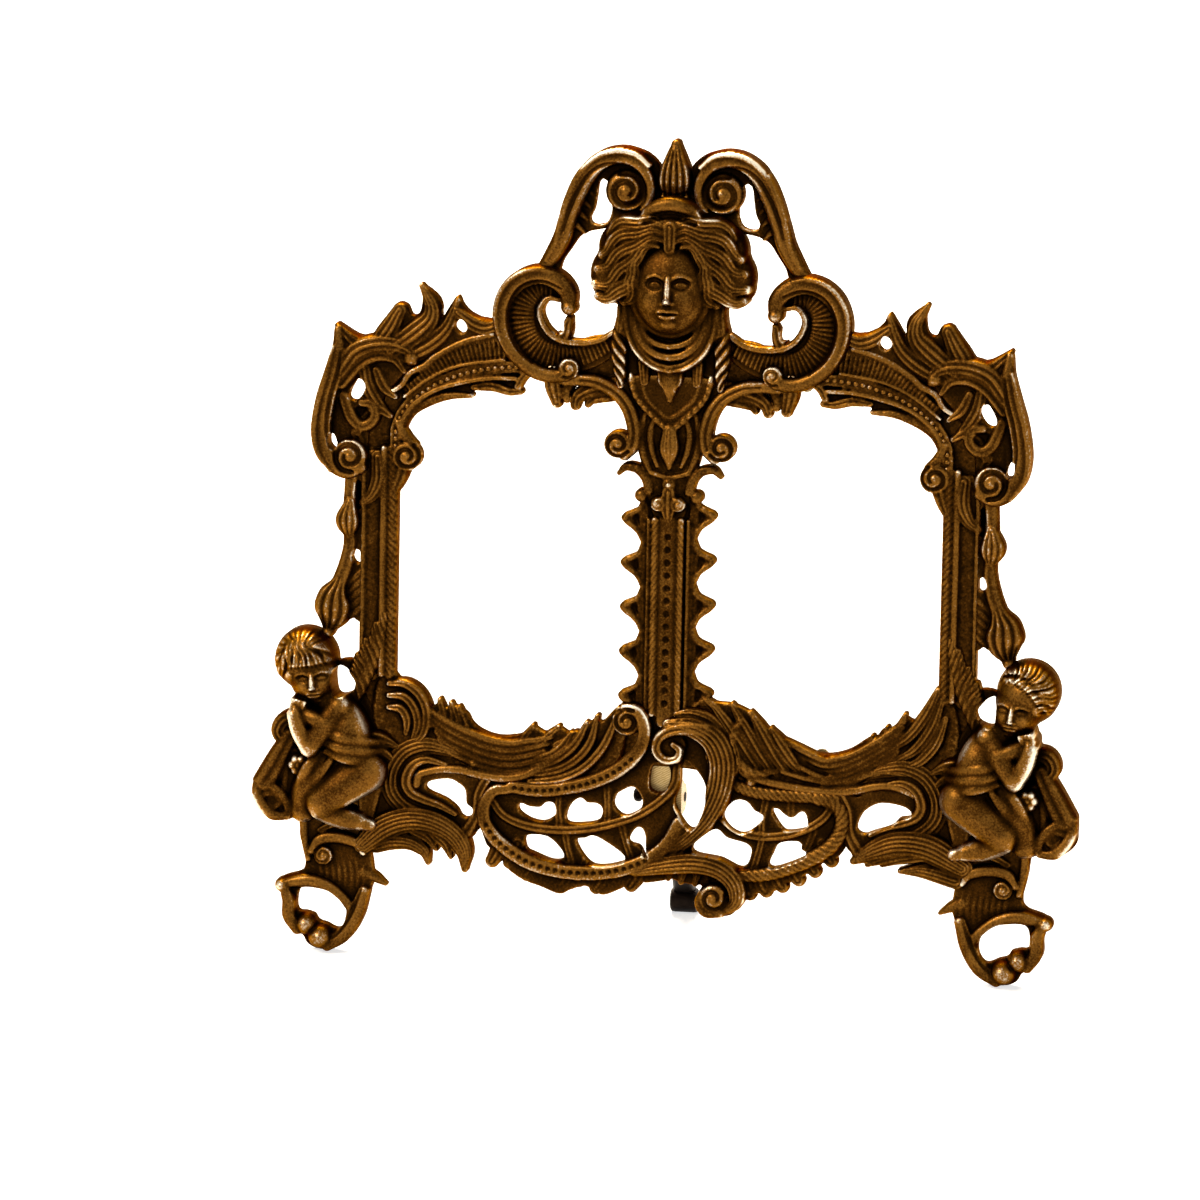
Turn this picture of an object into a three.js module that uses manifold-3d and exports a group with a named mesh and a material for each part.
// Double photo frame: a cast rococo front with two windows, two panes held by turn buttons,
// and an easel strut hinged behind the apron.
// Millimetres, +Z up, front towards -Y. Everything is drawn upright in the plane of the frame,
// x to the right, z up, the casting's flat back at y = 0, and the whole is leaned back at the end.
import * as THREE from "three";
import { mergeVertices } from "three/addons/utils/BufferGeometryUtils.js";
import Module from "manifold-3d";

const wasm = await Module();
wasm.setup();

// Layout of the casting
const LEAN = 10; // degrees that the frame leans back
const WINDOW_WIDTH = 82; // from the column's edge to the post
const COLUMN_WIDTH = 20; // in the valleys between its teeth
const POST_WIDTH = 11;
const SILL = 76; // height of the lowest point of a window
const SPRING = 170; // height at which the arch leaves the post
const ARCH_RISE = 20;
const PLATE_THICKNESS = 4;
const RAIL_RISE = 7; // of the posts' rails, off the casting's back
const LEG_THICKNESS = 4.5;
const CREST_RISE = 10;
const TOOTH_PITCH = 14.9;
const TOOTH_REACH = 5.5;
const TOOTH_COUNT = 5;
const SHELL_OFFSET = 36; // from the column's edge to the middle of a shell scroll
const SHELL_HEIGHT = 44.4; // of a shell scroll's top above the arch

// Panes and their turn buttons
const PANE_THICKNESS = 2;
const PANE_LAP = 3; // behind the casting at the sides and the sill
const PANE_HEAD = 10; // behind the casting above the arch
const BOSS_RADIUS = 3.2;
const BUTTON_WIDTH = 5;
const BUTTON_THICKNESS = 1.2;
const SCREW_RADIUS = 1.3;
const SCREW_HEAD_RADIUS = 2.4;
const SCREW_HEAD_HEIGHT = 1.4;
const SCREW_DEPTH = 4; // how far a screw reaches into its boss

// Easel strut and its hinge
const STRAP_WIDTH = 11;
const STRAP_THICKNESS = 2;
const PIN_DROP = 20; // of the hinge pin below the sill
const PIN_DEPTH = 8; // behind the casting's back
const PIN_RADIUS = 1.6;
const STRUT_WIDTH = 6;
const STRUT_REACH = 52; // from the casting's back to the strut's foot
const SEAT_GAP = 0.3; // between pieces that touch

// Places that the rest hangs on
const COLUMN_EDGE = COLUMN_WIDTH / 2;
const POST_IN = COLUMN_EDGE + WINDOW_WIDTH;
const POST_OUT = POST_IN + POST_WIDTH;
const CROWN = SPRING + ARCH_RISE;
const PIN_HEIGHT = SILL - PIN_DROP;
const BUTTON_DEPTH = SEAT_GAP + PANE_THICKNESS + SEAT_GAP;

// Sizes at which the ornament is drawn, so that it stretches with the frame
const SHELL_PATTERN = 44.4; // height of a shell scroll
const SHELL_FOOT = 20; // of which this much rests on the arch and keeps its height
const HUSK_PATTERN = 60; // fall of a husk drop
const HEAD_TOP = 34; // of a cherub's head above the sill
const FOOT_PATTERN = 76; // from the table to the sill
const APRON_PATTERN = 92; // from the middle to a post
const CREST_BASE = CROWN + SHELL_HEIGHT - SHELL_PATTERN;

const LEAN_RAD = THREE.MathUtils.degToRad(LEAN);

// Sections of a band: across it from -1 to 1, and how far it rises
const CROWNED = [[-1, 0], [-0.62, 0.95], [0.62, 0.95], [1, 0]];
const ROOFED = [[-1, 0], [-0.9, 0.45], [0, 1], [0.9, 0.45], [1, 0]];
const FLUTED = [[-1, 0], [-0.65, 0.85], [-0.3, 0.68], [0, 1], [0.3, 0.68], [0.65, 0.85], [1, 0]];

// Finishes of an old frame: dark patina with gold on the high points, filed brass, browned steel, black iron
const FINISHES = {
  bronze: { color: 0x6b4518, roughness: 0.45, metalness: 1 },
  brass: { color: 0xb08a48, roughness: 0.4, metalness: 1 },
  steel: { color: 0x4a4440, roughness: 0.5, metalness: 1 },
  iron: { color: 0x1c1613, roughness: 0.6, metalness: 0.8 },
  glass: { color: 0xf2f8f6, roughness: 0.03, metalness: 0, transparent: true, opacity: 0.12 },
};

// Solid modelling

function solid(geometry) {
  const bare = new THREE.BufferGeometry();
  bare.setAttribute("position", geometry.getAttribute("position"));
  if (geometry.index) bare.setIndex(geometry.index);
  const merged = mergeVertices(bare, 1e-4);
  const corners = merged.index.array;
  const kept = [];
  for (let i = 0; i < corners.length; i += 3) {
    const [a, b, c] = [corners[i], corners[i + 1], corners[i + 2]];
    if (a !== b && b !== c && c !== a) kept.push(a, b, c);
  }
  const positions = merged.getAttribute("position").array;
  const build = (list) => new wasm.Manifold(
    new wasm.Mesh({ numProp: 3, vertProperties: positions, triVerts: new Uint32Array(list) }),
  );
  const made = build(kept);
  if (made.volume() > 0) return made;
  const turned = [];
  for (let i = 0; i < kept.length; i += 3) turned.push(kept[i], kept[i + 2], kept[i + 1]);
  return build(turned);
}

function joined(solids) {
  return solids.reduce((sum, next) => sum.add(next));
}

function mainBody(shape) {
  const bodies = shape.decompose();
  return bodies.reduce((best, next) => (next.volume() > best.volume() ? next : best));
}

function geometryOf(shape) {
  const mesh = shape.getMesh();
  const geometry = new THREE.BufferGeometry();
  geometry.setAttribute("position", new THREE.BufferAttribute(new Float32Array(mesh.vertProperties), 3));
  geometry.setIndex(new THREE.BufferAttribute(new Uint32Array(mesh.triVerts), 1));
  geometry.computeVertexNormals();
  return geometry;
}

// Shapes in the plane of the frame

function along(values, t) {
  const place = t * (values.length - 1);
  const low = Math.min(Math.floor(place), values.length - 2);
  return values.length === 1 ? values[0] : THREE.MathUtils.lerp(values[low], values[low + 1], place - low);
}

function loft(rings, section) {
  const count = section.length;
  const positions = rings.flat().flatMap((p) => [p.x, p.y, p.z]);
  const index = [];
  for (let i = 0; i < rings.length - 1; i++) {
    for (let j = 0; j < count; j++) {
      const a = i * count + j;
      const b = i * count + ((j + 1) % count);
      index.push(a, b, a + count, b, b + count, a + count);
    }
  }
  const outline = section.map(([s, r]) => new THREE.Vector2(s, r));
  const last = (rings.length - 1) * count;
  const turn = THREE.ShapeUtils.area(outline);
  for (const [a, b, c] of THREE.ShapeUtils.triangulateShape(outline, [])) {
    const same = THREE.ShapeUtils.area([outline[a], outline[b], outline[c]]) * turn > 0;
    const [d, e] = same ? [b, c] : [c, b];
    index.push(a, e, d, last + a, last + d, last + e);
  }
  const geometry = new THREE.BufferGeometry();
  geometry.setAttribute("position", new THREE.Float32BufferAttribute(positions, 3));
  geometry.setIndex(index);
  return geometry;
}

// A band follows a curve, flat at the back; widths are half widths, rises are heights off the back.
function band(points, widths, rises, { section = CROWNED, pace = 1, grow = 0 } = {}) {
  const curve = new THREE.SplineCurve(points.map(([x, z]) => new THREE.Vector2(x, z)));
  const steps = pace * (points.length - 1);
  const rings = [];
  for (let i = 0; i <= steps; i++) {
    const t = i / steps;
    const way = curve.getTangent(t);
    const at = curve.getPoint(t);
    if (i === 0) at.addScaledVector(way, -grow);
    if (i === steps) at.addScaledVector(way, grow);
    const half = along(widths, t) + grow;
    const rise = along(rises, t) + grow;
    rings.push(section.map(([s, r]) => new THREE.Vector3(
      at.x - way.y * s * half,
      r === 0 ? grow : -r * rise,
      at.y + way.x * s * half,
    )));
  }
  return solid(loft(rings, section));
}

// An outline moved out by a distance, corner by corner; a hole is moved the other way.
function offset(points, distance) {
  const turn = THREE.ShapeUtils.area(points) > 0 ? 1 : -1;
  const count = points.length;
  const side = (a, b) => new THREE.Vector2(b.y - a.y, a.x - b.x).normalize().multiplyScalar(turn);
  return points.map((point, i) => {
    const before = side(points[(i + count - 1) % count], point);
    const after = side(point, points[(i + 1) % count]);
    const miter = Math.min(distance / Math.max(1 + before.dot(after), 0.5), 2 * distance);
    return point.clone().addScaledVector(before.add(after), distance < 0 ? distance / 2 : miter);
  });
}

function outlinePoints(outline, divisions) {
  const points = outline instanceof THREE.Path
    ? outline.getPoints(divisions)
    : outline.map(([x, z]) => new THREE.Vector2(x, z));
  return points.filter((point, i) => point.distanceTo(points[(i + 1) % points.length]) > 0.01);
}

function slab(points, front, back) {
  const sawn = { depth: front + back, bevelEnabled: false };
  const geometry = new THREE.ExtrudeGeometry(new THREE.Shape(points), sawn);
  return solid(geometry.rotateX(Math.PI / 2).translate(0, back, 0));
}

function plate(outline, thickness, { holes = [], grow = 0, divisions = 1 } = {}) {
  const body = slab(offset(outlinePoints(outline, divisions), grow), thickness + grow, grow);
  return holes.reduce((left, hole) => (
    left.subtract(slab(offset(outlinePoints(hole, divisions), -grow), thickness + 1, 1))
  ), body);
}

// A turned boss that stands off the back; profile pairs are radius and rise.
function boss(x, z, profile, { sides = 8, grow = 0 } = {}) {
  const points = profile.map(([r, rise]) => new THREE.Vector2(r + grow, rise === 0 ? grow : -rise - grow));
  points.unshift(new THREE.Vector2(0, points[0].y));
  points.push(new THREE.Vector2(0, points[points.length - 1].y));
  return solid(new THREE.LatheGeometry(points, sides).translate(x, 0, z));
}

// The eye of a scroll: a rim, a sunk ring and a raised middle
function volute(x, z, radius, rise, options) {
  const eye = [[radius, 0], [radius, 0.85 * rise], [0.5 * radius, 0.6 * rise], [0.3 * radius, rise]];
  return boss(x, z, eye, options);
}

function ball(x, z, depth, [rx, rz, ry], { tilt = 0, grow = 0, sides = 7, rows = 4 } = {}) {
  const geometry = new THREE.SphereGeometry(1, sides, rows);
  geometry.scale(rx + grow, ry + grow, rz + grow).rotateY(-THREE.MathUtils.degToRad(tilt));
  return solid(geometry.translate(x, -depth, z));
}

// A limb tapers between two places, each given as x, z, depth and radius.
function limb(from, to, { grow = 0, sides = 6 } = {}) {
  const start = new THREE.Vector3(from[0], -from[2], from[1]);
  const end = new THREE.Vector3(to[0], -to[2], to[1]);
  const way = end.clone().sub(start);
  const length = way.length();
  const [r0, r1] = [from[3] + grow, to[3] + grow];
  const profile = [
    [0, -r0], [0.95 * r0, -0.3 * r0], [0.95 * r1, length + 0.3 * r1], [0, length + r1],
  ];
  const geometry = new THREE.LatheGeometry(profile.map(([r, y]) => new THREE.Vector2(r, y)), sides);
  const up = new THREE.Vector3(0, 1, 0);
  geometry.applyQuaternion(new THREE.Quaternion().setFromUnitVectors(up, way.normalize()));
  return solid(geometry.translate(start.x, start.y, start.z));
}

function box(x, y, z, dx, dy, dz) {
  return solid(new THREE.BoxGeometry(dx, dy, dz).translate(x, y, z));
}

// A round bar square to the frame, from one depth to another
function rod(x, z, radius, yFrom, yTo, sides = 8) {
  const geometry = new THREE.CylinderGeometry(radius, radius, yFrom - yTo, sides);
  return solid(geometry.translate(x, (yFrom + yTo) / 2, z));
}

function mirrorOf(shape) {
  return solid(geometryOf(shape).scale(-1, 1, 1));
}

function shifted(points, x, z) {
  return points.map(([a, b]) => [a + x, b + z]);
}

function mirrored(points) {
  return points.map(([x, z]) => [-x, z]);
}

// The space behind the casting's back and the space under the table top, past every edge of the frame
const FAR = 400;
const BEHIND = box(0, FAR / 2, FAR / 2, 2 * FAR, FAR, 2 * FAR);
const TABLE = solid(new THREE.BoxGeometry(2 * FAR, 2 * FAR, FAR).translate(0, 0, -FAR / 2).rotateX(LEAN_RAD));

// The space taken by a neighbour that rises so far off the back, between two heights and up to one side
function spaceBehind(rise, low, high, side = FAR) {
  const height = high - low + 2 * SEAT_GAP;
  return box(side + SEAT_GAP - FAR, FAR / 2 - rise - SEAT_GAP, (low + high) / 2, 2 * FAR, FAR, height);
}

// Where the turn buttons sit: x, z, direction of the tongue in degrees and its reach
const HEAD_BUTTON = [COLUMN_EDGE + 34, CROWN + 14.5, -90, 10];
const POST_BUTTON = [POST_IN + 7.5, (SILL + SPRING) / 2, 180, 7.2];
const SILL_BUTTON = [COLUMN_EDGE + 42, SILL - 9.5, 90, 9];
const COLUMN_BUTTON = [0, (SILL + SPRING) / 2 - 2, 0, 9.4];
const STRAP_SCREWS = [SILL + 3, SILL + 13];

// The window frame: posts, arches, column, sill rails and the bosses behind them

function windowHole(side) {
  const hole = new THREE.Path();
  const tip = COLUMN_EDGE + TOOTH_REACH;
  const top = CROWN - 38.5;
  hole.moveTo(side * POST_IN, SILL + 24);
  hole.lineTo(side * POST_IN, SPRING + 2);
  const arch = [
    [POST_IN - 3, SPRING + 6], [POST_IN - 6, SPRING + 14], [POST_IN - 12, SPRING + 17.5],
    [POST_IN - 20, CROWN - 0.8], [POST_IN - 27, CROWN + 1], [COLUMN_EDGE + 40, CROWN + 3],
    [COLUMN_EDGE + 38, CROWN + 6.5],
    [COLUMN_EDGE + 31, CROWN + 6], [COLUMN_EDGE + 20, CROWN + 3.5], [COLUMN_EDGE + 10, CROWN + 1.5],
    [COLUMN_EDGE + 4.5, CROWN - 2], [COLUMN_EDGE + 2, CROWN - 8], [COLUMN_EDGE + 0.5, CROWN - 18],
    [COLUMN_EDGE - 2.5, CROWN - 27], [COLUMN_EDGE + 1, CROWN - 32], [tip, top],
  ];
  hole.splineThru(arch.map(([x, z]) => new THREE.Vector2(side * x, z)));
  for (let i = 1; i < TOOTH_COUNT; i++) {
    const down = top - i * TOOTH_PITCH;
    hole.lineTo(side * COLUMN_EDGE, down + 0.6 * TOOTH_PITCH);
    hole.lineTo(side * tip, down);
  }
  const sill = [
    [COLUMN_EDGE + 12, SILL + 10], [COLUMN_EDGE + 22, SILL + 5.5], [COLUMN_EDGE + 34, SILL + 1],
    [COLUMN_EDGE + 43, SILL], [POST_IN - 28, SILL + 2], [POST_IN - 18, SILL + 7], [POST_IN - 8, SILL + 13],
    [POST_IN - 2, SILL + 19], [POST_IN, SILL + 24],
  ];
  hole.splineThru(sill.map(([x, z]) => new THREE.Vector2(side * x, z)));
  return hole;
}

function windowFrame(grow) {
  const half = [
    [0, CROWN + 22], [COLUMN_EDGE + 14, CROWN + 21], [COLUMN_EDGE + 24, CROWN + 18],
    [COLUMN_EDGE + 36, CROWN + 20], [COLUMN_EDGE + 48, CROWN + 22.5], [POST_IN - 24, CROWN + 20.5],
    [POST_IN - 14, CROWN + 16],
    [POST_IN - 5, CROWN + 9], [POST_IN + 3, CROWN + 1], [POST_IN + 8, CROWN - 9], [POST_OUT, SPRING + 2],
    [POST_OUT, SILL + 14], [POST_OUT - 1, SILL], [POST_IN + 2, SILL - 9], [POST_IN - 8, SILL - 14],
    [POST_IN - 24, SILL - 14], [COLUMN_EDGE + 42, SILL - 18], [COLUMN_EDGE + 28, SILL - 17.5],
    [COLUMN_EDGE + 16, SILL - 14], [COLUMN_EDGE + 6, SILL - 9.5], [0, SILL - 7],
  ];
  const outline = [...half, ...mirrored(half.slice(1, -1)).reverse()];
  const solids = [plate(outline, PLATE_THICKNESS, { holes: [windowHole(1), windowHole(-1)], grow })];
  for (const side of [1, -1]) {
    const rail = (points, widths, rises, options = {}) => {
      solids.push(band(points.map(([x, z]) => [side * x, z]), widths, rises, { grow, ...options }));
    };
    // Arch: a bead rail
    rail([
      [POST_IN, SPRING + 3], [POST_IN - 0.5, SPRING + 9], [POST_IN - 4, SPRING + 15.5],
      [POST_IN - 10, SPRING + 21], [POST_IN - 17, SPRING + 25], [POST_IN - 27, SPRING + 28.3],
      [COLUMN_EDGE + 44, CROWN + 9.8],
      [COLUMN_EDGE + 38, CROWN + 9.9],
    ], [2.2], [6.5]);
    // Post: a rope bevel and a flat
    rail([[POST_IN + 2.8, SILL + 18], [POST_IN + 2.8, SPRING + 2]], [2.6], [RAIL_RISE]);
    rail([[POST_IN + 8, SILL + 20], [POST_IN + 8, SPRING - 2]], [2.4], [5.4]);
    // Wing tip of the cherub, cast on the post
    const wing = [[POST_IN + 6.5, SILL + 16], [POST_IN + 4.5, SILL + 29], [POST_IN + 1.5, SILL + 41]];
    rail(wing, [4.2, 4.4, 1.5], [9.5, 9.5, 8.5]);
    // Scroll cusp at the foot of the arch
    solids.push(volute(side * (POST_IN - 3.7), SPRING - 1, 4.6, 7, { grow }));
    rail([[POST_IN + 1, SPRING - 12], [POST_IN - 3, SPRING - 4]], [2.5, 4], [5]);
    // Bracket scroll beside the top of the column, with its hanging leaves
    rail(shifted([
      [25, 5.2], [20, 6], [14, 5.5], [8.5, 2.5], [4.8, -1.5], [2.6, -6], [1.8, -10.5], [2.5, -15],
      [5.2, -17.7],
    ], COLUMN_EDGE, CROWN), [1.7, 1.9, 1.9], [7]);
    solids.push(volute(side * (COLUMN_EDGE + 7.5), CROWN - 14.4, 4.6, 8, { grow }));
    rail(shifted([[28.5, 8], [28.8, 1], [28.2, -3]], COLUMN_EDGE, CROWN), [2.4, 2, 1.2], [6, 6, 5]);
    const leaf = shifted([[10, 3], [16, 2.4], [20, 0], [21.3, -3.2]], COLUMN_EDGE, CROWN);
    rail(leaf, [2, 2.4, 2, 1], [6, 6, 5, 4]);
    // Small horns at the neck of the column
    const horn = shifted([[-3.5, -29.5], [-1.8, -25], [1.4, -22], [6.8, -23.4]], COLUMN_EDGE, CROWN);
    rail(horn, [1.8, 1.7, 1.6, 0.9], [5]);
    // Sill: a sweeping rail and a lower rail
    rail([
      [COLUMN_EDGE + 9, SILL + 8.5], [COLUMN_EDGE + 22, SILL + 2.5], [COLUMN_EDGE + 34, SILL - 2],
      [COLUMN_EDGE + 43, SILL - 3], [POST_IN - 28, SILL - 1], [POST_IN - 18, SILL + 4],
      [POST_IN - 7, SILL + 10.5],
    ], [2.2], [6.6], { section: ROOFED });
    rail([
      [COLUMN_EDGE - 4, SILL - 4], [COLUMN_EDGE + 2, SILL - 9], [COLUMN_EDGE + 12, SILL - 13],
      [COLUMN_EDGE + 24, SILL - 16], [COLUMN_EDGE + 38, SILL - 16.5],
    ], [2], [6.8]);
    for (const [x, z] of [HEAD_BUTTON, POST_BUTTON, SILL_BUTTON]) {
      solids.push(rod(side * x, z, BOSS_RADIUS + grow, BUTTON_DEPTH + grow, -1));
    }
  }
  // Column: raised core, bud and two bosses
  solids.push(band([[0, SILL + 12], [0, CROWN - 38]], [5.2], [8], { grow }));
  const bud = [[0, CROWN - 9.5], [0, CROWN - 14], [0, CROWN - 21]];
  solids.push(band(bud, [2.4, 2.8, 0.9], [8, 8, 6], { grow }));
  solids.push(boss(0, CROWN - 26.5, [[2.2, 0], [2.2, 6.5], [1.2, 8]], { grow }));
  solids.push(boss(0, CROWN - 33.5, [[6, 0], [6, 6], [3, 8.5]], { grow }));
  solids.push(rod(COLUMN_BUTTON[0], COLUMN_BUTTON[1], BOSS_RADIUS + grow, BUTTON_DEPTH + grow, -1));
  return joined(solids);
}

function withScrewHoles(frame) {
  let cut = frame;
  for (const [x, z] of [HEAD_BUTTON, POST_BUTTON, SILL_BUTTON]) {
    for (const side of [1, -1]) cut = cut.subtract(screwHole(side * x, z, BUTTON_DEPTH));
  }
  cut = cut.subtract(screwHole(COLUMN_BUTTON[0], COLUMN_BUTTON[1], BUTTON_DEPTH));
  for (const z of STRAP_SCREWS) cut = cut.subtract(screwHole(0, z, 0));
  return cut;
}

function screwHole(x, z, face) {
  return rod(x, z, SCREW_RADIUS + SEAT_GAP, face + 1, face - SCREW_DEPTH - SEAT_GAP);
}

// Ornament of the head: shell scrolls, crest and mask

function shellScroll(grow) {
  const [x, z] = [COLUMN_EDGE + SHELL_OFFSET, CROWN];
  const tall = (SHELL_HEIGHT - SHELL_FOOT) / (SHELL_PATTERN - SHELL_FOOT);
  const lifted = (b) => (b > SHELL_FOOT ? SHELL_FOOT + (b - SHELL_FOOT) * tall : b);
  const placed = (points) => shifted(points.map(([a, b]) => [a, lifted(b)]), x, z);
  const scroll = placed([
    [-12.5, 32], [-11.5, 36.5], [-8, 40], [-3, 41.8], [2.5, 41], [7, 38], [10, 33.5], [11.3, 28],
    [10.5, 22], [8, 16.5], [4, 12], [-1, 8.6], [-6.5, 7.6], [-11, 8],
  ]);
  const ground = placed([
    [-8, 38], [-3, 40], [3, 39], [8, 35.5], [10, 28], [9, 20], [5, 13.5], [-1, 9.5], [-8, 8.5], [-14, 10],
    [-20, 13], [-24, 17], [-22, 20.5], [-16, 19.8], [-10, 20], [-5, 22.5], [-2, 26], [-1, 29.8], [-3.5, 33.5],
    [-8, 35],
  ]);
  const rim = placed([
    [-9, 35], [-4.4, 33.8], [-1.8, 29.6], [-2.8, 25.4], [-6, 21.6], [-10.4, 19.4], [-16, 19], [-22, 19.6],
  ]);
  const solids = [
    band(scroll, [2.4, 2.6, 2.5, 2.3, 2.1, 2.2], [9], { grow }),
    volute(x - 12.7, z + 10, 3.6, 8.5, { grow }),
    plate(ground, 5.4, { grow }),
    band(rim, [0.9], [6.8], { grow, section: ROOFED }),
  ];
  for (let i = 0; i < 5; i++) {
    const turn = THREE.MathUtils.degToRad(75 - 40 * i);
    const [c, s] = [Math.cos(turn), Math.sin(turn)];
    const rib = placed([[-6 + 6 * c, 29 + 6 * s], [-6 + 15 * c, 29 + 13 * s]]);
    solids.push(band(rib, [0.8, 1.4], [6.6, 7.2], { grow, section: ROOFED }));
  }
  return joined(solids);
}

function crest(grow) {
  const solids = [];
  for (const side of [1, -1]) {
    const horn = shifted([
      [44, 43], [40, 48], [37.4, 53], [35.6, 60], [33.2, 67], [30.3, 73.5], [26, 78.7], [20.5, 81.3],
      [14.5, 80.7], [10.2, 77.3], [8.3, 72], [9.2, 67], [12.3, 63.6],
    ].map(([a, b]) => [side * a, b]), 0, CREST_BASE);
    const rises = [0.6, 0.8, 0.95, 1, 1, 0.9, 0.85].map((share) => share * CREST_RISE);
    solids.push(band(horn, [1.6, 2.2, 3, 2.8, 2.1, 1.9, 1.7], rises, { grow }));
    solids.push(volute(side * 16.5, CREST_BASE + 69.7, 4.6, 8.5, { grow }));
    solids.push(boss(side * 15.6, CREST_BASE + 71.5, [[8.4, 0], [8.4, 4]], { grow }));
    const leaf = shifted([[31.5, 59], [30, 67], [26.5, 73]].map(([a, b]) => [side * a, b]), 0, CREST_BASE);
    solids.push(band(leaf, [2.6, 2.8, 2], [5.5], { grow }));
    const bridge = shifted([[31, 57.5], [24, 58], [18.5, 64]].map(([a, b]) => [side * a, b]), 0, CREST_BASE);
    solids.push(band(bridge, [1.4, 1.4, 2], [5.5], { grow }));
  }
  const bud = shifted([[0, 66], [0, 75], [0, 81.5], [0, 86]], 0, CREST_BASE);
  solids.push(band(bud, [8, 6, 2.8, 0.9], [8, 9, 8, 6], { grow, section: FLUTED }));
  return joined(solids);
}

function mask(grow) {
  const z = CROWN;
  const solids = [
    ball(0, z + 38, 9, [9, 13.5, 13], { grow, sides: 8, rows: 6 }),
    ball(0, z + 35.5, 20.5, [1.6, 4.5, 3.2], { grow }),
    ball(0, z + 21, 5, [8, 8, 7], { grow }),
    ball(0, z + 58, 6, [11, 8, 9], { grow }),
    band(shifted([[-10, 59], [-6, 62.5], [0, 64], [6, 62.5], [10, 59]], 0, z), [1.8], [15], { grow }),
    band(shifted([[0, 15], [0, 2.5]], 0, z), [4, 2.2], [9, 7.5], { grow, section: FLUTED }),
  ];
  const outer = [[13, 36], [12, 26.5], [8, 17.5], [0, 13.5], [-8, 17.5], [-12, 26.5], [-13, 36]];
  const inner = [[9.5, 27], [6, 21], [0, 18.3], [-6, 21], [-9.5, 27]];
  solids.push(band(shifted(outer, 0, z), [1.8], [11], { grow }));
  solids.push(band(shifted(inner, 0, z), [1.5], [12.5], { grow }));
  for (const side of [1, -1]) {
    solids.push(ball(side * 10, z + 54, 8, [9, 6.5, 9], { grow, tilt: side * -20 }));
    solids.push(ball(side * 18.5, z + 47, 7, [7.5, 9.5, 8.5], { grow }));
    solids.push(ball(side * 21.5, z + 40, 6, [6, 6, 7.5], { grow }));
    const fall = [[15, 42], [14.5, 30], [16.8, 19], [16.2, 12], [16, 6]];
    const lock = shifted(fall.map(([a, b]) => [side * a, b]), 0, z);
    solids.push(band(lock, [2.6, 2.4, 2.9, 2.1, 0.8], [11, 10, 9, 8, 7], { grow }));
  }
  return joined(solids).subtract(BEHIND);
}

// Ornament of the sides, drawn for the right: corner scroll, husk drop, cherub and foot

function cornerScroll(grow) {
  const [x, z] = [POST_OUT, SPRING];
  const leaf = (points, widths, rises, options) => (
    band(shifted(points, x, z), widths, rises, { grow, ...options })
  );
  const ground = shifted([
    [9, 28], [3, 33], [-8, 36], [-17, 33.5], [-11, 27], [-6, 20], [-2, 11], [-0.5, 2], [-1, -5], [5, -7],
    [10.5, -3], [13.5, 6], [12, 16], [9.5, 24],
  ], x, z);
  const tear = [[2, 24], [0.2, 23], [-0.5, 21], [1.5, 17.5], [3.5, 16.2], [5.2, 17], [4.5, 20]];
  const drop = shifted(tear, x, z);
  const slit = shifted([[11.3, 5.2], [10.2, 4.5], [8.5, 0.5], [9.3, -0.4], [11, 1.8]], x, z);
  return joined([
    plate(ground, 3.8, { holes: [drop, slit], grow }),
    leaf([
      [8.8, 39.5], [8.6, 33], [10.2, 25], [12.8, 16], [14.2, 7], [13, 0], [9.6, -5], [5, -7], [0.8, -5.4],
    ], [1.3, 2.3, 2.4, 2.5, 2.2], [7, 9, 9, 9, 8]),
    volute(x + 4, z - 1.7, 4.8, 9, { grow }),
    leaf([[8, 27], [3, 33], [-3, 35.7], [-10, 36], [-14.5, 34], [-16, 31]], [2.4, 2.6, 2.2, 1.4], [8.5]),
    leaf([
      [7.5, 22], [2, 28.8], [-4, 32], [-10, 31.3], [-12.5, 28.3],
    ], [1.9, 1.9, 1.2], [7], { section: ROOFED }),
    leaf([
      [-13, 37.5], [-19, 41], [-23.3, 44.5], [-23.5, 49], [-21, 53], [-19, 55],
    ], [2.4, 3.6, 4.2, 3.4, 2, 0.9], [7, 8, 8, 7, 6, 5]),
    leaf([[-6, 36.5], [-9.2, 42], [-11.7, 47.3]], [3, 3.2, 2.3], [7]),
    leaf([[-16, 34], [-24.5, 39.5], [-28.5, 44], [-31.2, 49.3]], [2.5, 2.7, 2.1, 1.2], [6.5]),
    leaf([[-31.6, 48.5], [-36, 43.9], [-40, 43], [-43.5, 44.6]], [1.6, 2.2, 2.2, 2], [6.5]),
  ]);
}

function huskDrop(grow) {
  const [x, z] = [POST_OUT, SPRING];
  const long = (SPRING - SILL - HEAD_TOP) / HUSK_PATTERN;
  const placed = (points) => shifted(points.map(([a, b]) => [a, b * long]), x, z);
  const stem = placed([
    [3.5, -9], [4.3, -16], [4.6, -20], [5, -24], [4.7, -27.5], [4.4, -30], [4.2, -34], [5.5, -39], [8, -44],
    [9.5, -49], [9.5, -53], [9.8, -57], [11, -60],
  ]);
  const web = placed([
    [0, -6], [4, -8], [4, -30], [5, -40], [6, -52], [2, -56], [-1, -57], [-1, -8],
  ]);
  const hole = placed([[2.4, -35.5], [1.6, -34], [0.6, -35.5], [1.6, -37]]);
  const widths = [2, 2.2, 3.3, 3.9, 3.2, 1.9, 1.8, 2.1, 3.6, 6, 6.4, 5.2, 3];
  const rises = [6, 6, 7.5, 8, 7, 5.5, 5.5, 6, 7, 8.5, 9, 8, 6];
  return joined([band(stem, widths, rises, { grow }), plate(web, 2.6, { holes: [hole], grow })]);
}

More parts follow.
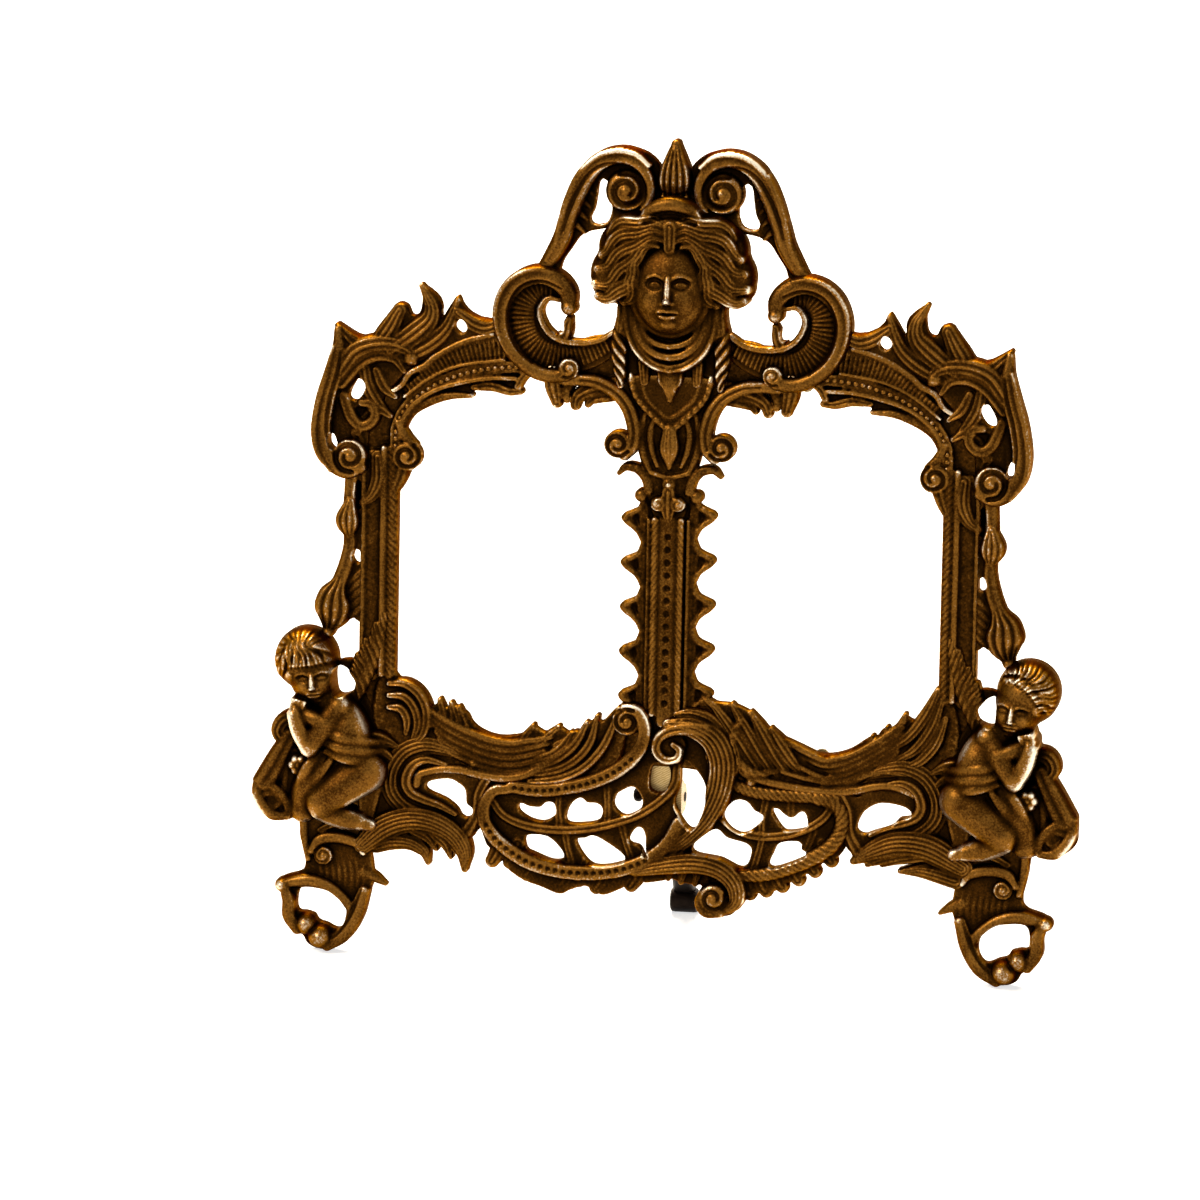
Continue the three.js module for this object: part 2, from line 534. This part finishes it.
function cherub(grow) {
  const [x, z] = [POST_OUT, SILL];
  const part = (a, b, depth, radii, options) => ball(x + a, z + b, depth, radii, { grow, ...options });
  const placed = ([a, b, depth, radius]) => [x + a, z + b, depth, radius];
  const arm = (from, to) => limb(placed(from), placed(to), { grow });
  const cloth = (points, widths, rises) => band(shifted(points, x, z), widths, rises, { grow });
  return joined([
    part(19, 24.5, 9, [10, 8.8, 11]),
    part(15.5, 16, 12, [7, 7.5, 8.5]),
    part(10, 8, 8, [7, 6, 7]),
    part(3.5, 1, 6, [9, 9.5, 9]),
    arm([6.5, 7.5, 11, 4.3], [14.3, -4, 14, 3.4]),
    arm([16.2, -5.5, 14, 3.5], [21.5, 6.5, 13, 2.7]),
    part(21, 8.5, 13.5, [2.8, 3, 2.8], { sides: 6, rows: 4 }),
    arm([-2.5, -13.5, 8, 7.2], [11, -24.5, 12, 5]),
    arm([9.5, -27.5, 11, 4.3], [-1, -31, 8, 3]),
    part(5, -9, 7, [9, 6.5, 8]),
    cloth([[8, -3], [-2, -4], [-12, -6.7]], [2.2, 2.2, 1.6], [14, 13, 9]),
    cloth([[5, -1], [15, 1], [24, 2.5], [27.5, -1.5], [24.5, -6]], [2.2], [8]),
    cloth([[24, -4], [28.5, -13], [31.8, -19]], [2.6, 3.4, 4], [9]),
    cloth([[33, -20.5], [30, -25.5], [26, -28]], [3, 3.6, 3], [10]),
    cloth([[27, -18], [24, -24], [23, -28]], [3, 3.2, 2.5], [8]),
    cloth([[3, 5], [0.5, 20], [0.5, 30]], [4, 3.4, 1.6], [8, 7.5, 7]),
    cloth([[10, 24], [2, 24]], [1.6], [6]),
  ]).subtract(BEHIND);
}

function foot(grow) {
  const x = POST_OUT;
  const tall = SILL / FOOT_PATTERN;
  const placed = (points) => shifted(points.map(([a, b]) => [a, b * tall]), x, 0);
  const leg = placed([
    [21.5, 54], [19.5, 38], [18, 30], [19.5, 26], [15, 23], [7, 20.5], [1.5, 15], [-2, 14], [-2.8, 19],
    [-4.5, 24], [-5, 30], [-4, 36], [-3, 44], [-3, 60], [9, 62], [19, 60],
  ]);
  const curl = (points, widths, rises) => band(placed(points), widths, rises, { grow });
  return joined([
    plate(leg, LEG_THICKNESS, { grow }),
    curl([[25, 21], [23.5, 16.5], [23.2, 11.5], [20.8, 7.6]], [1.8, 2.2, 2.3, 2], [8]),
    ball(x + 25.8, 21.3 * tall, 4, [2.8, 2.4, 4], { grow }),
    curl([[26, 22], [17, 23.5], [10, 21.8], [4, 17]], [2], [7.5]),
    curl([[0, 15.5], [1.5, 10], [5, 4.6], [10.5, 1.4]], [2.6, 2.5, 2.6, 2.6], [8]),
    ball(x + 17.6, 8.2 * tall, 4.5, [4, 4, 4.5], { grow }),
    ball(x + 12.5, 2.8 * tall, 4.5, [4.6, 4.9, 4.8], { grow }),
    curl([[-3, 27], [-8.5, 24]], [2, 0.8], [5]),
    curl([[14, 34.5], [10, 38.3], [2, 38]], [1.8], [7]),
    volute(x + 11.2, 32 * tall, 2.6, 7.5, { grow }),
  ]).subtract(BEHIND).subtract(TABLE);
}

// Ornament below: a leaf bracket at each side, and the pierced apron, which isn't the same left and right

function leafBracket(side, mainLeaf, mainWidths, lowerLeaf, lowerWidths, grow) {
  const leaf = (points, widths, rises, options) => (
    band(shifted(points, POST_OUT, SILL).map(([a, b]) => [side * a, b]), widths, rises, { grow, ...options })
  );
  return joined([
    leaf(mainLeaf, mainWidths, [9, 9, 8.5, 7], { section: FLUTED }),
    leaf(lowerLeaf, lowerWidths, [7]),
    leaf([
      [-27, -9.2], [-21, -9], [-16.7, -12], [-15.2, -16.5], [-17, -20.8], [-22, -23], [-28, -24.8],
      [-33, -27.5],
    ], [1.8, 2.2, 2.3, 2, 2], [7.5]),
    leaf([[-44, -15], [-41, -20], [-40.5, -27], [-37, -33]], [2, 2, 2, 2.6], [6]),
    leaf([[-12, -8], [-8, -20], [-4, -34]], [3, 4.5, 4], [5]),
    leaf([[-15.5, -16], [-9, -18]], [2.5], [5]),
  ]);
}

// The leaves differ left and right
const LEFT_LEAF = [
  [-2.5, -38.5], [-9, -32.7], [-17, -29.7], [-25, -30], [-32, -33.5], [-36.3, -39.5], [-36.2, -45.5],
];
const LEFT_LOBE = [[-6.5, -39], [-11.5, -37.5], [-18, -37.7], [-22.5, -40.5], [-23.7, -44]];
const RIGHT_LEAF = [[-3, -36], [-13, -30.5], [-23, -29.5], [-31, -32], [-38, -36]];
const RIGHT_LOBE = [[-4, -41], [-14, -38.5], [-22, -38.7]];

function leftBracket(grow) {
  return leafBracket(-1, LEFT_LEAF, [3, 4.3, 4, 4, 3.8, 3.4, 2], LEFT_LOBE, [2.4, 2.8, 2.6, 2.2, 1.4], grow);
}

function rightBracket(grow) {
  return leafBracket(1, RIGHT_LEAF, [3.5, 4.8, 4.8, 4, 2.2], RIGHT_LOBE, [3, 2.6, 0.9], grow);
}

function apron(grow) {
  const z = SILL;
  const wide = POST_IN / APRON_PATTERN;
  const rail = (points, widths, rises, options) => (
    band(shifted(points.map(([a, b]) => [a * wide, b]), 0, z), widths, rises, { grow, ...options })
  );
  const strut = (points, width) => rail(points, [width], [5]);
  return joined([
    // Left cartouche: lower rail, frill, inner rail and struts
    rail([
      [-52, -17.7], [-57, -18.7], [-60, -23.5], [-59.8, -29], [-56.5, -34], [-51, -38.5], [-44, -42.2],
      [-35.5, -44.3], [-27, -44.8], [-18, -44], [-10, -41.8], [-3, -38.2], [2.5, -33], [6, -26.5],
    ], [1.6, 2, 2.1, 2.1, 2.1, 2.1, 2.4], [7.5]),
    rail([
      [-57, -37.5], [-51, -43], [-43, -47.5], [-35, -49], [-27, -47.8], [-21, -49], [-13, -46], [-5, -43.5],
    ], [2, 2.6, 2.6, 2.8, 2.2, 2.6, 2.4, 2], [5], { section: ROOFED }),
    rail([
      [-58.5, -20], [-54.5, -26], [-49, -29], [-42, -30.5], [-33, -30.8], [-24, -29.7], [-15, -27.2],
      [-7, -23.8], [0, -18.5], [4, -13], [4.8, -5],
    ], [2], [6.5], { section: ROOFED }),
    strut([[-34.5, -15], [-34.5, -30]], 2.1),
    strut([[-33, -30], [-29.5, -45]], 2.4),
    strut([[-14, -27], [-9.5, -42]], 2.3),
    strut([[-19, -12], [-18.5, -28]], 2.2),
    // Middle: a great S leaf with its volute, and the lower leaf with its ball
    rail([
      [3, 7], [10, 6.5], [16.5, 3], [19.8, -3.5], [19.5, -11], [17.3, -18], [13.5, -25], [8, -31.2],
      [1, -36.5],
    ], [2.5, 3.2, 3.8, 3.9, 3.6, 3, 2], [10], { section: FLUTED }),
    volute(3 * wide, z - 0.5, 6, 10, { grow }),
    rail([
      [-8, -43], [2, -40.7], [12, -39.5], [20, -41.2], [25.3, -46], [25.3, -52], [21, -55.5],
    ], [2, 2.6, 3, 3, 2.4], [9], { section: FLUTED }),
    ball(17.4 * wide, z - 51.5, 4.5, [4.6, 4.6, 5.5], { grow }).subtract(BEHIND),
    rail([[-2, -43], [4, -44.5], [11, -43.5]], [2], [6], { section: ROOFED }),
    // Right cartouche: lower rail, frill, inner rail and struts
    rail([
      [24, -43.5], [35, -42.2], [43, -39.5], [50.5, -36], [56.5, -31.8], [60, -26.5], [60.3, -21],
      [57.5, -17.2], [52, -16],
    ], [2.2], [7.5]),
    rail([[26, -46.5], [37, -45.6], [45, -42.4], [53, -37.6]], [2.4, 2.2, 2.4, 2], [5], { section: ROOFED }),
    rail([
      [17, -21.5], [25, -27.5], [32, -29.5], [40, -29], [48, -26.5], [54, -22.5], [57.5, -17],
    ], [2], [6.5], { section: ROOFED }),
    rail([[35.2, -16], [33.5, -24], [33.5, -31], [30.5, -43]], [2.5], [5]),
    strut([[43, -16], [43.3, -28]], 2),
    strut([[51, -27], [47.5, -38]], 2.2),
  ]);
}

// Panes, turn buttons and screws

function pane() {
  const width = WINDOW_WIDTH + 2 * PANE_LAP;
  const height = CROWN - SILL + PANE_LAP + PANE_HEAD;
  const geometry = new THREE.BoxGeometry(width, PANE_THICKNESS, height);
  const middle = COLUMN_EDGE + WINDOW_WIDTH / 2;
  return geometry.translate(middle, SEAT_GAP + PANE_THICKNESS / 2, SILL - PANE_LAP + height / 2);
}

function buttonGeometry(reach, twoEnded) {
  const half = BUTTON_WIDTH / 2;
  const shape = new THREE.Shape();
  const back = twoEnded ? -reach + half : 0;
  shape.moveTo(back, -half);
  shape.lineTo(reach - half, -half);
  shape.absarc(reach - half, 0, half, -Math.PI / 2, Math.PI / 2, false);
  shape.lineTo(back, half);
  shape.absarc(back, 0, half, Math.PI / 2, 1.5 * Math.PI, false);
  const bore = new THREE.Path();
  bore.absarc(0, 0, SCREW_RADIUS + SEAT_GAP, 0, 2 * Math.PI, false);
  shape.holes.push(bore);
  const pressed = { depth: BUTTON_THICKNESS, curveSegments: 3, bevelEnabled: false };
  const geometry = new THREE.ExtrudeGeometry(shape, pressed);
  return geometryOf(solid(geometry.rotateX(Math.PI / 2).translate(0, BUTTON_THICKNESS, 0)));
}

// A cheese-head screw, its head's underside at y = 0 and its shank towards the front
function screwGeometry(length) {
  const profile = [[0, -length], [SCREW_RADIUS, -length], [SCREW_RADIUS, 0], [SCREW_HEAD_RADIUS, 0],
    [SCREW_HEAD_RADIUS, SCREW_HEAD_HEIGHT], [0, SCREW_HEAD_HEIGHT]];
  return geometryOf(solid(new THREE.LatheGeometry(profile.map(([r, y]) => new THREE.Vector2(r, y)), 8)));
}

// Hinge strap, pin and strut

function strap() {
  const top = SILL + 17;
  const bottom = PIN_HEIGHT - 6;
  const face = SEAT_GAP + STRAP_THICKNESS / 2;
  const ear = (STRAP_WIDTH - STRUT_WIDTH) / 2 - SEAT_GAP;
  let made = box(0, face, (top + bottom) / 2, STRAP_WIDTH, STRAP_THICKNESS, top - bottom);
  for (const side of [1, -1]) {
    const shape = new THREE.Shape();
    shape.moveTo(SEAT_GAP, PIN_HEIGHT - 5.5);
    shape.lineTo(PIN_DEPTH, PIN_HEIGHT - 4.5);
    shape.absarc(PIN_DEPTH, PIN_HEIGHT, 4.5, -Math.PI / 2, Math.PI / 2, false);
    shape.lineTo(SEAT_GAP, PIN_HEIGHT + 8);
    made = made.add(solid(sideways(shape, ear, side * (STRAP_WIDTH - ear) / 2)));
  }
  for (const z of STRAP_SCREWS) made = made.subtract(rod(0, z, SCREW_RADIUS + SEAT_GAP, 20, -5));
  return made.subtract(pinBore());
}

// An outline drawn as depth and height, given a width along x
function sideways(shape, width, x) {
  const geometry = new THREE.ExtrudeGeometry(shape, { depth: width, curveSegments: 4, bevelEnabled: false });
  const turn = new THREE.Matrix4().makeBasis(
    new THREE.Vector3(0, 1, 0), new THREE.Vector3(0, 0, 1), new THREE.Vector3(1, 0, 0),
  );
  return geometry.applyMatrix4(turn).translate(x - width / 2, 0, 0);
}

function pinBore() {
  const geometry = new THREE.CylinderGeometry(PIN_RADIUS + SEAT_GAP, PIN_RADIUS + SEAT_GAP, 60, 10);
  return solid(geometry.rotateZ(Math.PI / 2).translate(0, PIN_DEPTH, PIN_HEIGHT));
}

function pin() {
  const end = STRAP_WIDTH / 2;
  const profile = [
    [0, -end - 4.5], [1.6, -end - 4.2], [2.5, -end - 2.6], [2.5, -end - 1], [PIN_RADIUS, -end - 1],
    [PIN_RADIUS, end + 2], [0, end + 2],
  ];
  const geometry = new THREE.LatheGeometry(profile.map(([r, y]) => new THREE.Vector2(r, y)), 10);
  return geometryOf(solid(geometry.rotateZ(-Math.PI / 2).translate(0, PIN_DEPTH, PIN_HEIGHT)));
}

function strut() {
  const toe = STRUT_REACH * Math.tan(LEAN_RAD);
  const heel = [STRUT_REACH, toe];
  const run = heel[0] - PIN_DEPTH;
  const fall = PIN_HEIGHT - heel[1];
  const shape = new THREE.Shape();
  shape.moveTo(PIN_DEPTH - 4, PIN_HEIGHT);
  shape.absarc(PIN_DEPTH, PIN_HEIGHT, 4, Math.PI, 0.15 * Math.PI, true);
  shape.splineThru([
    new THREE.Vector2(PIN_DEPTH + 0.5 * run, PIN_HEIGHT - 0.38 * fall),
    new THREE.Vector2(PIN_DEPTH + 0.88 * run, PIN_HEIGHT - 0.72 * fall),
    new THREE.Vector2(heel[0] + 4.5, heel[1] + 7),
    new THREE.Vector2(heel[0] + 5, heel[1] + 1),
  ]);
  shape.lineTo(heel[0] + 3, heel[1] - 3);
  shape.lineTo(heel[0] - 5, heel[1] - 3);
  shape.splineThru([
    new THREE.Vector2(heel[0] - 7, heel[1] + 2),
    new THREE.Vector2(heel[0] - 4, heel[1] + 6.5),
    new THREE.Vector2(PIN_DEPTH + 0.62 * run, PIN_HEIGHT - 0.68 * fall),
    new THREE.Vector2(PIN_DEPTH + 0.25 * run, PIN_HEIGHT - 0.38 * fall),
    new THREE.Vector2(PIN_DEPTH - 4, PIN_HEIGHT - 2),
  ]);
  return solid(sideways(shape, STRUT_WIDTH, 0)).subtract(pinBore()).subtract(TABLE);
}

// Assembly

const leaning = new THREE.Group();
leaning.name = "leaning_frame";
leaning.rotation.x = -LEAN_RAD;

const root = new THREE.Group();
root.name = "double_photo_frame";
root.add(leaning);

function add(name, geometry, finish, { x = 0, y = 0, z = 0, turn = 0, mirror = false } = {}) {
  const mesh = new THREE.Mesh(geometry, new THREE.MeshStandardMaterial(FINISHES[finish]));
  mesh.name = name;
  mesh.position.set(x, y, z);
  mesh.rotation.y = THREE.MathUtils.degToRad(-turn);
  if (mirror) mesh.scale.x = -1;
  leaning.add(mesh);
}

function addPair(name, shape, finish) {
  const geometry = geometryOf(shape);
  add(`right_${name}`, geometry, finish);
  add(`left_${name}`, geometry, finish, { mirror: true });
}

const frameSeat = windowFrame(SEAT_GAP);
const shellSeat = shellScroll(SEAT_GAP);
const cornerSeat = cornerScroll(SEAT_GAP);
const footSeat = foot(SEAT_GAP);
const rightBracketSeat = rightBracket(SEAT_GAP);
const leftBracketSeat = leftBracket(SEAT_GAP);

add("window_frame", geometryOf(mainBody(withScrewHoles(windowFrame(0)))), "bronze");
addPair("shell_scroll", mainBody(shellScroll(0).subtract(frameSeat)), "bronze");
addPair("corner_scroll", mainBody(cornerScroll(0).subtract(frameSeat).subtract(shellSeat)), "bronze");
const shellTop = CROWN + SHELL_HEIGHT + SEAT_GAP;
const shellSpace = box(0, 0, shellTop / 2, 2 * FAR, FAR, shellTop);
add("crest", geometryOf(mainBody(crest(0).subtract(shellSpace))), "bronze");
const headSpace = spaceBehind(PLATE_THICKNESS, 0, CROWN + 22);
const crestSpace = spaceBehind(CREST_RISE, CREST_BASE + 56, CREST_BASE + 150);
add("mask", geometryOf(mainBody(mask(0).subtract(headSpace).subtract(crestSpace))), "bronze");
addPair("husk_drop", mainBody(huskDrop(0).subtract(frameSeat).subtract(cornerSeat)), "bronze");
addPair("foot", mainBody(foot(0).subtract(frameSeat)), "bronze");
const rightLeaves = rightBracket(0).subtract(frameSeat).subtract(footSeat);
add("right_leaf_bracket", geometryOf(mainBody(rightLeaves)), "bronze");
const leftLeaves = leftBracket(0).subtract(frameSeat).subtract(mirrorOf(footSeat));
add("left_leaf_bracket", geometryOf(mainBody(leftLeaves)), "bronze");
const postSpace = spaceBehind(RAIL_RISE, 0, CROWN, POST_OUT);
const legSpace = spaceBehind(LEG_THICKNESS + 0.5, 0, SILL - 14);
addPair("cherub", mainBody(cherub(0).subtract(postSpace).subtract(legSpace)), "bronze");
const apronRails = apron(0).subtract(frameSeat).subtract(rightBracketSeat).subtract(leftBracketSeat);
add("apron", geometryOf(mainBody(apronRails)), "bronze");

addPair("pane", solid(pane()), "glass");
const screw = screwGeometry(SCREW_DEPTH + SEAT_GAP + BUTTON_THICKNESS);
const buttonAt = BUTTON_DEPTH + SEAT_GAP;
const screwAt = buttonAt + BUTTON_THICKNESS + SEAT_GAP;
for (const [name, spot] of [["head", HEAD_BUTTON], ["post", POST_BUTTON], ["sill", SILL_BUTTON]]) {
  const [x, z, turn, reach] = spot;
  const geometry = buttonGeometry(reach, false);
  for (const [side, sign] of [["right", 1], ["left", -1]]) {
    const way = sign > 0 ? turn : 180 - turn;
    add(`${side}_${name}_button`, geometry, "brass", { x: sign * x, y: buttonAt, z, turn: way });
    add(`${side}_${name}_screw`, screw, "steel", { x: sign * x, y: screwAt, z, turn: 35 * sign });
  }
}
const [columnX, columnZ, , columnReach] = COLUMN_BUTTON;
add("column_button", buttonGeometry(columnReach, true), "brass", { x: columnX, y: buttonAt, z: columnZ });
add("column_screw", screw, "steel", { x: columnX, y: screwAt, z: columnZ, turn: 70 });

add("hinge_strap", geometryOf(strap()), "brass");
const strapScrew = screwGeometry(SCREW_DEPTH - 1 + STRAP_THICKNESS);
const strapScrewAt = SEAT_GAP + STRAP_THICKNESS + SEAT_GAP;
add("lower_strap_screw", strapScrew, "steel", { y: strapScrewAt, z: STRAP_SCREWS[0], turn: 20 });
add("upper_strap_screw", strapScrew, "steel", { y: strapScrewAt, z: STRAP_SCREWS[1], turn: 80 });
add("hinge_pin", pin(), "iron");
add("easel_strut", geometryOf(strut()), "iron");

root.updateMatrixWorld(true);
const bounds = new THREE.Box3().setFromObject(root, true);
const middle = bounds.getCenter(new THREE.Vector3());
root.position.set(-middle.x, -middle.y, -bounds.min.z);

export default root;
